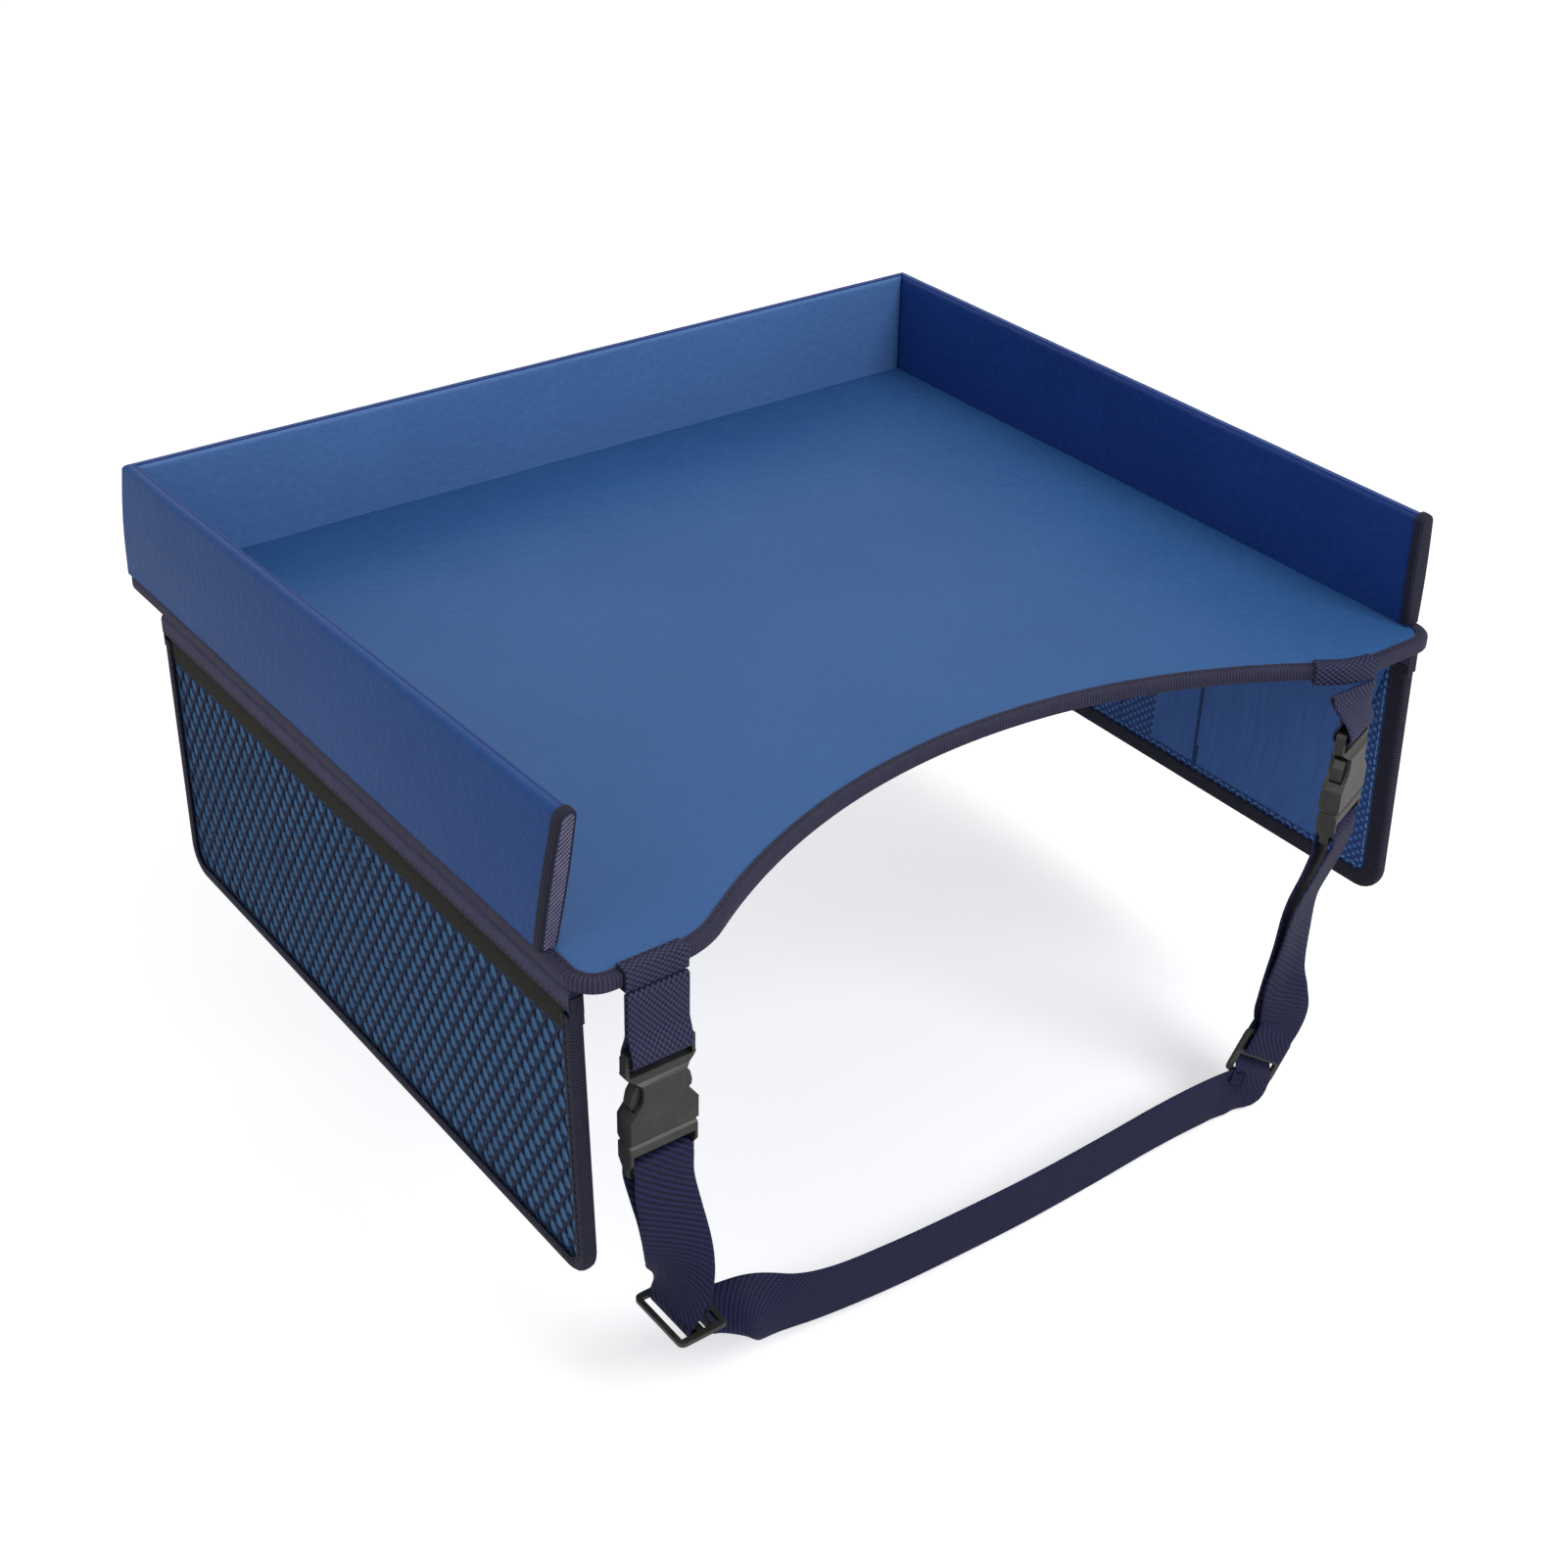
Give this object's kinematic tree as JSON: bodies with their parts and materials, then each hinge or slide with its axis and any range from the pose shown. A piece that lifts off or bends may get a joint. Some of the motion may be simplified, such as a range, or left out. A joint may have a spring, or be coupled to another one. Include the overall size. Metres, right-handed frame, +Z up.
{
  "type": "car seat travel tray",
  "caption": "Padded fabric travel tray with low soft walls, a belly cut-out, hanging mesh pocket flaps, and a webbing strap with side-release buckles.",
  "frame": {"origin": "the middle of the tray's flat underside", "axes": "+Z up, +X along the back wall to the child's right, -Y towards the child and the belly cut-out"},
  "size_m": [0.4068, 0.3579, 0.2547],
  "materials": {
    "coated_blue_fabric": "smooth coated",
    "navy_lining": "plain woven",
    "navy_grosgrain_tape": "ribbed",
    "navy_webbing": "woven webbing",
    "navy_mesh": "open mesh",
    "black_elastic": "ribbed elastic",
    "white_board": "plain board",
    "white_foam": "soft foam",
    "black_acetal": "satin moulded"
  },
  "bodies": {
    "tray": {"underside_lining": "navy_lining", "base_board": "white_board", "base_foam": "white_foam", "top_cover": "coated_blue_fabric", "edge_binding": "navy_grosgrain_tape", "left_wall_cover": "coated_blue_fabric", "left_wall_board": "white_board", "right_wall_cover": "coated_blue_fabric", "right_wall_board": "white_board", "back_wall_cover": "coated_blue_fabric", "back_wall_board": "white_board", "left_wall_end_tape": "navy_grosgrain_tape", "right_wall_end_tape": "navy_grosgrain_tape", "left_tab_anchor": "navy_webbing", "right_tab_anchor": "navy_webbing"},
    "strap": {"strap_webbing": "navy_webbing", "left_plug": "black_acetal", "right_plug": "black_acetal", "left_slider": "black_acetal", "right_slider": "black_acetal"},
    "left_flap": {"left_flap_lining": "coated_blue_fabric", "left_flap_board": "white_board", "left_flap_face": "navy_lining", "left_flap_binding": "navy_grosgrain_tape", "left_flap_hinge_tape": "navy_grosgrain_tape", "left_pocket_net": "navy_mesh", "left_pocket_band": "black_elastic"},
    "left_tab": {"left_tab_webbing": "navy_webbing", "left_socket": "black_acetal"},
    "left_latch_a": {"left_latch_a": "black_acetal"},
    "left_latch_b": {"left_latch_b": "black_acetal"},
    "right_flap": {"right_flap_lining": "coated_blue_fabric", "right_flap_board": "white_board", "right_flap_face": "navy_lining", "right_flap_binding": "navy_grosgrain_tape", "right_flap_hinge_tape": "navy_grosgrain_tape", "right_pocket_net": "navy_mesh", "right_pocket_band": "black_elastic"},
    "right_tab": {"right_tab_webbing": "navy_webbing", "right_socket": "black_acetal"},
    "right_latch_a": {"right_latch_a": "black_acetal"},
    "right_latch_b": {"right_latch_b": "black_acetal"}
  },
  "joints": [
    {"name": "left_flap_fold", "type": "hinge", "parent": "tray", "child": "left_flap", "pos_m": [-0.1997, 0, -0.004], "axis": [0, 1, 0], "range_deg": [-86, 85]},
    {"name": "right_flap_fold", "type": "hinge", "parent": "tray", "child": "right_flap", "pos_m": [0.1997, 0, -0.004], "axis": [0, -1, 0], "range_deg": [-86, 85]},
    {"name": "left_tab_swing", "type": "hinge", "parent": "tray", "child": "left_tab", "pos_m": [-0.1755, -0.1719, -0.0042], "axis": [1, 0, 0], "range_deg": [-90, 60]},
    {"name": "right_tab_swing", "type": "hinge", "parent": "tray", "child": "right_tab", "pos_m": [0.152, -0.1719, -0.0042], "axis": [1, 0, 0], "range_deg": [-90, 60]},
    {"name": "strap_release", "type": "slide", "parent": "left_tab", "child": "strap", "axis": [0, 0, -1], "range_m": [0, 0.035], "deforming": ["left_latch_a", "left_latch_b", "right_latch_a", "right_latch_b"]},
    {"name": "left_latch_a_squeeze", "type": "hinge", "parent": "strap", "child": "left_latch_a", "pos_m": [-0.1847, -0.1719, -0.063], "axis": [0, 1, 0], "range_deg": [0, 8], "stiffness_Nm_per_rad": 0.02},
    {"name": "left_latch_b_squeeze", "type": "hinge", "parent": "strap", "child": "left_latch_b", "pos_m": [-0.1663, -0.1719, -0.063], "axis": [0, -1, 0], "range_deg": [0, 8], "stiffness_Nm_per_rad": 0.02},
    {"name": "right_latch_a_squeeze", "type": "hinge", "parent": "strap", "child": "right_latch_a", "pos_m": [0.14336, -0.17805, -0.0525], "axis": [-0.342, 0.9397, 0], "range_deg": [0, 8], "stiffness_Nm_per_rad": 0.02},
    {"name": "right_latch_b_squeeze", "type": "hinge", "parent": "strap", "child": "right_latch_b", "pos_m": [0.16065, -0.17175, -0.0525], "axis": [0.342, -0.9397, 0], "range_deg": [0, 8], "stiffness_Nm_per_rad": 0.02}
  ],
  "couplings": [
    {"joint": "right_tab_swing", "follows": "left_tab_swing", "ratio": 1},
    {"joint": "left_latch_b_squeeze", "follows": "left_latch_a_squeeze", "ratio": 1},
    {"joint": "right_latch_b_squeeze", "follows": "right_latch_a_squeeze", "ratio": 1}
  ]
}
